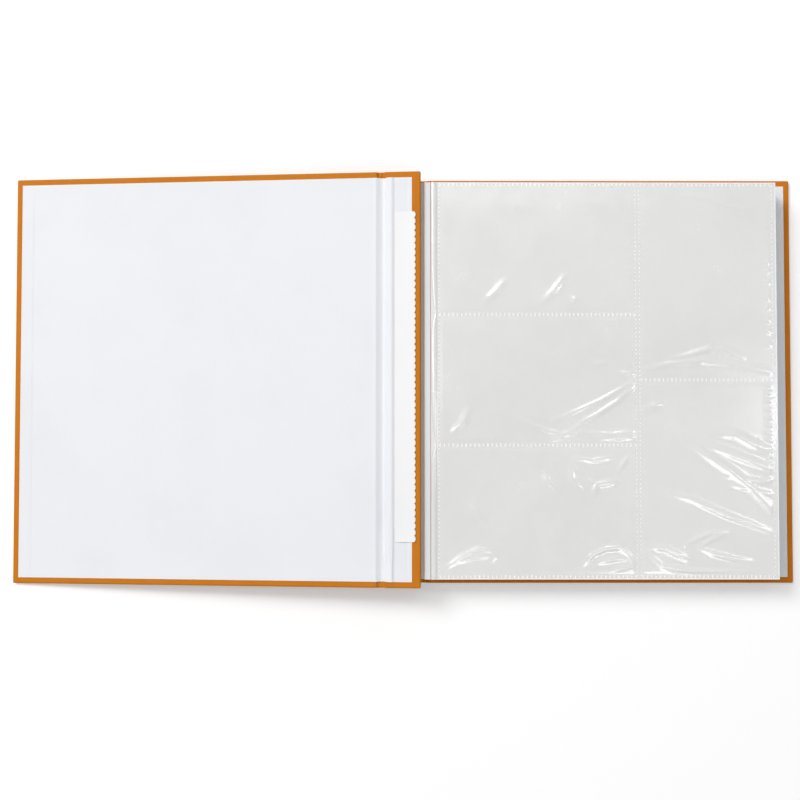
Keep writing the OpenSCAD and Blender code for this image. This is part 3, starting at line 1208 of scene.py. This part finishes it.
# Creases of the top film: height and half-width, then x and y of each point of the line, in leaf mm.
CREASE_LINES = (
    (0.75, 2, -106.5, 63, -99, 69.5, -91, 79),
    (0.7, 2, -59, 62.5, -51, 71, -42, 83),
    (0.5, 1.5, -36, 66, -31, 62.5),
    (0.65, 1.3, 16, -1, -14.5, -18, -37, -28, -51, -33.5),
    (0.7, 1.4, 16, -3, 0.5, -18, -16.5, -29, -28, -35, -37, -42.5),
    (0.6, 1.3, -77, -32.5, -67, -38, -56.5, -42, -43, -45, -26, -44),
    (0.6, 1.4, -53, -50.5, -43, -45, -36, -41.5),
    (0.7, 1.4, -22.5, -44, -3, -45, 16, -42.5),
    (0.6, 1.3, -14.5, -48.5, 16, -47),
    (0.8, 1.9, -131.5, -42.5, -123.5, -33.5, -120, -24.5),
    (0.55, 1.2, 1.5, 5, 16, 3.5),
    (0.4, 1.4, -16.5, 12.5, -7.5, 12.5),
    (0.6, 1.7, -116.5, -102.5, -111, -110.5, -106.5, -117.5),
    (0.7, 1.9, -58, -75.5, -56.5, -82.5, -49.5, -89),
    (0.65, 1.3, -37, -66.5, -32.5, -64, -20, -66, -1, -62.5),
    (0.6, 1.3, 9.5, -62, 1.5, -73.5),
    (0.6, 1.2, -36, -66.5, -20, -84.5),
    (0.65, 1.5, -38.5, -71, -36, -81, -28, -91.5),
    (0.75, 1.8, -20, -95, -16.5, -85.5, 0.5, -82.5),
    (0.8, 1.4, -137, -151.5, -124.5, -142.5, -112, -137, -101, -139, -99, -143.5, -102, -147),
    (0.6, 1.3, -130.5, -148, -116.5, -143.5, -102, -142.5),
    (0.8, 1.4, -27, -149, -20, -141, -9, -136.5, 1.5, -136, 9.5, -142.5, 12.5, -149),
    (0.6, 1.3, -16.5, -148, -3, -145, 7, -145),
    (0.6, 1.3, -3, -153.5, 12.5, -151),
    (0.7, 1.7, 53, 149, 67.5, 149.5, 83, 145, 98.5, 138.5, 108.5, 134.5),
    (0.8, 1.7, 44.5, 16.5, 59, 19.5, 75.5, 24.5, 90, 23.5, 102.5, 17.5),
    (0.85, 1.8, 25.5, 8, 45, 12.5, 68, 14.5, 96, 11.5, 124.5, 6),
    (0.7, 2.2, 22, -25, 36.5, -20),
    (1.2, 2.7, 42.5, -41, 59, -51.5, 74.5, -63, 91, -74.5, 108.5, -88.5, 127, -108.5),
    (1, 2.3, 65.5, -50.5, 85, -58, 105.5, -66, 127, -74.5),
    (1.05, 2.6, 77.5, -43.5, 96.5, -45.5, 108.5, -52.5, 123, -58),
    (0.7, 1.4, 83, -78.5, 100.5, -80.5, 116, -83.5, 127, -81),
    (0.7, 1.4, 90, -84.5, 111, -90.5, 127, -94),
    (0.8, 1.7, 41.5, -92, 59, -97, 76.5, -105, 86, -109.5, 105.5, -116.5, 125, -124.5),
    (0.65, 1.3, 54, -134, 65.5, -128, 75.5, -124.5, 88, -124.5),
    (0.6, 1.2, 66.5, -136, 74.5, -130, 87, -125),
    (0.65, 1.4, 66.5, -136, 77.5, -141, 93, -145, 108.5, -147.5),
    (0.8, 1.8, 26, -136, 37.5, -136, 47, -141, 56, -145),
    (0.7, 1.4, 27, -138, 28, -143, 35.5, -150.5, 58, -155, 80, -156, 105.5, -157),
)
WRINKLES = tuple(Wrinkle(tuple(zip(row[2::2], row[3::2])), *row[:2]) for row in CREASE_LINES)
# Places of the short ripples along the fore-edge weld, in leaf mm.
RIPPLE_PLACES = (95.0, 88.0, 79.0, 66.0, 58.0, 48.0, 39.0, 28.0, -4.5, -10.5, -17.0, -24.5, -31.0, -37.0,
                 -43.5, -49.0, -55.5, -62.0, -68.0)
RIPPLES = tuple(Wrinkle(((120.5, y), (127.5, y - 1.2)), 0.5, 1.1) for y in RIPPLE_PLACES)


@dataclass
class PageBlock:
    """All the leaves: six that turn on top of the block, and the stack under them.

    A kind of film is given by its grain, its puff and its roll.
    """

    sizes: LeafSizes
    paints: Palette
    top_film: Film = (1.1 * MM, 0.25 * MM, 0.9 * MM)
    lower_film: Film = (4 * MM, 0.05 * MM, 0.06 * MM)
    back_film: Film = (4 * MM, 0.04 * MM, 0.05 * MM)
    core_shy: float = 0.4 * MM

    def build(self) -> None:
        """Makes the pieces and joins them to the frame."""
        for n in range(1, self.sizes.turning + 1):
            self.leaf(n)
        self.stack()

    def leaf(self, n: int) -> None:
        """Makes the two films of a turning leaf, counted from the top.

        Args:
            n: Number of the leaf, from 1.
        """
        s = self.sizes
        base = s.underside(s.count - n)
        wrinkles, make = (WRINKLES + RIPPLES, self.top_film) if n == 1 else ((), self.lower_film)
        front = PocketFilm(s, self.paints, wrinkles, *make, seed=n)
        back = PocketFilm(s, self.paints, (), *self.back_film, seed=20 + n)
        films = ((front, Side.FRONT, base + s.thick - s.film_t), (back, Side.BACK, base + s.film_t))
        for film, side, level in films:
            film.build(f"leaf_{n}_{side.value}_pockets", f"leaf_{n}_{side.value}", f"leaf_{n}", level, side)

    def stack(self) -> None:
        """Makes the lower leaves, each cut a little differently at its edges."""
        s, shy = self.sizes, self.core_shy
        dice = random.Random(7)
        films, cores = Shape(), Shape()
        for level in range(s.count - s.turning):
            z = s.underside(level)
            x1 = s.x1 + dice.uniform(-0.7, 0.5) * MM
            y0 = s.y0 + dice.uniform(-0.4, 0.5) * MM
            y1 = s.y1 + dice.uniform(-0.5, 0.4) * MM
            for low in (z, z + s.thick - s.film_t):
                films.box(Vector((s.x0, y0, low)), Vector((x1, y1, low + s.film_t)))
            core = z + s.film_t + s.sheet_gap
            cores.box(Vector((s.x0, y0 + shy, core)), Vector((x1 - shy, y1 - shy, core + s.core_t)))
        for shape, name, node, paint, slot in (
            (films, "stacked_leaf_films", "lower_leaf_films", self.paints.edge_film, Slot.FILM),
            (cores, "stacked_leaf_cores", "lower_leaf_cores", self.paints.core, Slot.CORE),
        ):
            piece = shape.finish(name, [paint], 30.0)
            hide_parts(node)
            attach(piece, "back_case")


@dataclass
class Studio:
    """White floor, soft lamps and the camera over the album."""

    eye: Place = (-0.17828, -0.0461, 0.9)
    tilt: Place = (0.03326, -0.00343, 0.00024)
    field_of_view: float = 40.75
    ambient: float = 0.31
    aim: Place = (-0.12, 0.0, 0.0)
    floor_tone: float = 0.9
    floor_glow: float = 0.2
    floor_fade: Span = (0.8, 1.8)
    floor_half: float = 4.0
    floor_drop: float = 0.3 * MM

    def build(self) -> None:
        """Makes the camera, the lamps, the world and the floor."""
        self.camera()
        self.lamp("key", (-2.85, 2.15, 3.6), 1.7, 1.7, 138.0)
        self.lamp("head_strip", (-0.2, 0.86, 2.15), 1.3, 0.22, 4.5)
        self.lamp("left_strip", (-0.95, 0.2, 2.0), 0.16, 1.4, 4.0)
        self.lamp("right_strip", (1.24, 0.0, 1.8), 0.16, 1.0, 2.6)
        self.lamp("tail_strip", (0.25, -0.85, 2.0), 0.8, 0.2, 2.4)
        self.world()
        self.floor()

    def camera(self) -> None:
        """Places the camera as the photograph's view was found."""
        data = bpy.data.cameras.new("camera")
        data.sensor_fit = "AUTO"
        data.angle = math.radians(self.field_of_view)
        data.clip_start, data.clip_end = 0.01, 50.0
        made = add_object("camera", data)
        made.location = self.eye
        made.rotation_euler = Euler(self.tilt, "XYZ")
        bpy.context.scene.camera = made

    def lamp(self, name: str, place: Place, width: float, depth: float, power: float) -> None:
        """Adds a soft rectangular lamp that faces the album.

        Args:
            name: Name of the lamp.
            place: Where it hangs.
            width: Its width.
            depth: Its other side.
            power: Its power in watts.
        """
        data = bpy.data.lights.new(name, "AREA")
        data.shape, data.size, data.size_y, data.energy = "RECTANGLE", width, depth, power
        made = add_object(name, data)
        made.location = place
        made.visible_camera = False
        aim = Vector(self.aim) - Vector(place)
        made.rotation_euler = aim.to_track_quat("-Z", "Y").to_euler()

    def world(self) -> None:
        """Even light from all round, seen as white."""
        n = Nodes(bpy.data.worlds.new("white_room"))
        room = n.add("ShaderNodeBackground", {"Color": WHITE, "Strength": self.ambient})
        white = n.add("ShaderNodeBackground", {"Color": WHITE, "Strength": 1.0})
        mix = n.add("ShaderNodeMixShader", {0: n.seen(), 1: room.outputs[0], 2: white.outputs[0]})
        n.add("ShaderNodeOutputWorld", {"Surface": mix.outputs[0]})
        bpy.context.scene.world = n.block

    def floor(self) -> None:
        """White floor that keeps the album's shadow and runs out into the white room."""
        n = Nodes(bpy.data.materials.new("white_floor"))
        reach = n.add("ShaderNodeVectorMath", {0: n.place()}, operation="LENGTH").outputs["Value"]
        diffuse = n.add("ShaderNodeBsdfDiffuse", {"Color": (*[self.floor_tone] * 3, 1.0)})
        glow = n.add("ShaderNodeEmission", {"Color": WHITE, "Strength": self.floor_glow})
        lit = n.add("ShaderNodeAddShader", {0: diffuse.outputs[0], 1: glow.outputs[0]})
        white = n.add("ShaderNodeEmission", {"Color": WHITE, "Strength": 1.0})
        far = n.step(reach, self.floor_fade)
        shown = n.add("ShaderNodeMixShader", {0: far, 1: lit.outputs[0], 2: white.outputs[0]})
        mix = n.add("ShaderNodeMixShader", {0: n.seen(), 1: diffuse.outputs[0], 2: shown.outputs[0]})
        n.add("ShaderNodeOutputMaterial", {"Surface": mix.outputs[0]})
        bm = bmesh.new()
        bmesh.ops.create_grid(bm, x_segments=4, y_segments=4, size=self.floor_half)
        bmesh.ops.translate(bm, verts=bm.verts, vec=(0.0, 0.0, -self.floor_drop))
        mesh = bpy.data.meshes.new("floor")
        bm.to_mesh(mesh)
        bm.free()
        mesh.materials.append(n.block)
        made = add_object("floor", mesh)


class Album:
    """The whole album: its case, its leaves and the finishes of the CAD nodes that stay."""

    def __init__(self) -> None:
        """Takes the sizes and builds the finishes."""
        self.case = CaseSizes()
        self.leaves = LeafSizes()
        self.paints = Palette()

    def build(self) -> None:
        """Makes every piece."""
        self.dress()
        FrontCover(self.case, self.paints).build()
        BackCase(self.case, self.paints).build()
        PageBlock(self.leaves, self.paints).build()

    def dress(self) -> None:
        """Gives each CAD node its finish by its material slot."""
        by_slot = {slot.value: getattr(self.paints, slot.name.lower()) for slot in Slot}
        for part in frame["record"]["subparts"]:
            node = frame["nodes"][part["node"]]
            node.data.materials.clear()
            node.data.materials.append(by_slot[part["material_slot"]])
            if part["material_slot"] == Slot.BOARD.value:
                worn = node.modifiers.new("worn_edges", "BEVEL")
                worn.width, worn.segments = EDGE_WEAR, 3
        LOG.info("dressed %d CAD nodes", len(frame["nodes"]))


def main() -> None:
    """Builds the studio and the album."""
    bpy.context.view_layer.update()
    bpy.context.scene.view_settings.view_transform = "Standard"
    Studio().build()
    Album().build()


if __name__ == "__main__":
    main()
